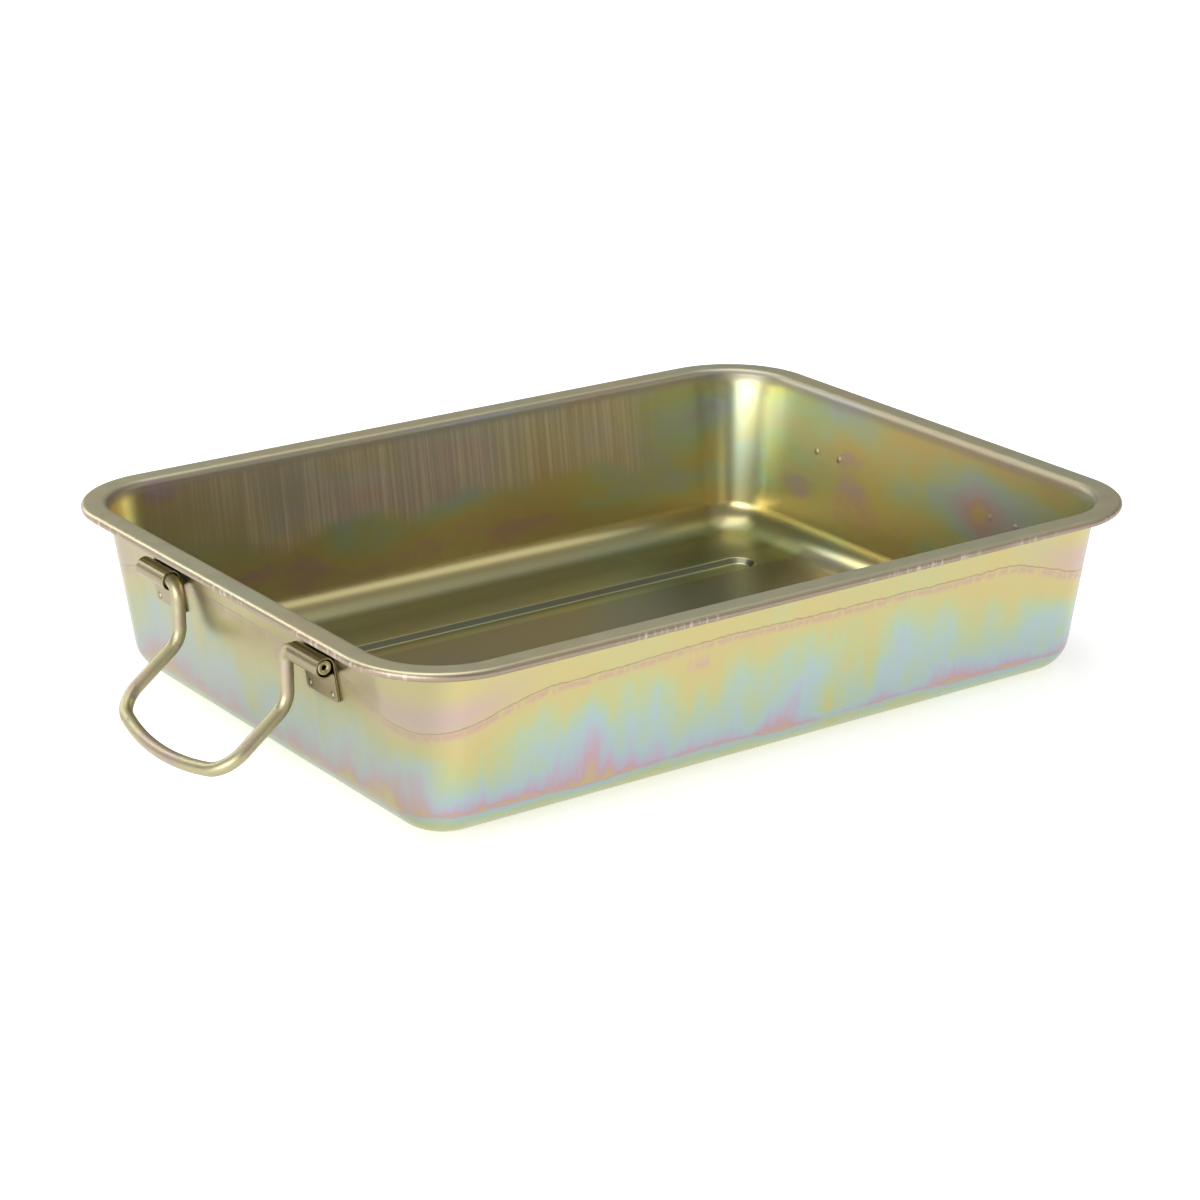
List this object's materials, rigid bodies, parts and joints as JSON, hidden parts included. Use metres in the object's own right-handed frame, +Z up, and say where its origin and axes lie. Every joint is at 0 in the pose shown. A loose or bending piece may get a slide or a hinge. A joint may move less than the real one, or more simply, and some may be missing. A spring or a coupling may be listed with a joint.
{
  "type": "handled drip tray",
  "caption": "Rectangular pressed-steel tray with a rolled rim, rounded corners, standing beads in the floor and a swinging tube handle at each end.",
  "frame": {"origin": "on the ground, at the middle of the tray's base between its two standing beads", "axes": "+X along the tray's length towards the right handle, +Y across its width towards the rear, +Z up"},
  "size_m": [0.6046, 0.4, 0.11],
  "materials": {
    "pan_steel": "yellow iridescent passivated zinc on deep-drawn steel sheet",
    "bracket_strap": "yellow passivated zinc on folded strap, satin",
    "handle_tube": "yellow passivated zinc on thin bent tube, satin"
  },
  "bodies": {
    "tray": {"tray_pan": "pan_steel", "left_front_bracket": "bracket_strap", "left_rear_bracket": "bracket_strap", "right_front_bracket": "bracket_strap", "right_rear_bracket": "bracket_strap"},
    "left_handle": {"left_handle": "handle_tube"},
    "right_handle": {"right_handle": "handle_tube"}
  },
  "joints": [
    {"name": "left_handle_hinge", "type": "hinge", "parent": "tray", "child": "left_handle", "pos_m": [-0.25099, 0, 0.0889], "axis": [0, 1, 0], "range_deg": [-12, 134]},
    {"name": "right_handle_hinge", "type": "hinge", "parent": "tray", "child": "right_handle", "pos_m": [0.25099, 0, 0.0889], "axis": [0, -1, 0], "range_deg": [-12, 134]}
  ]
}
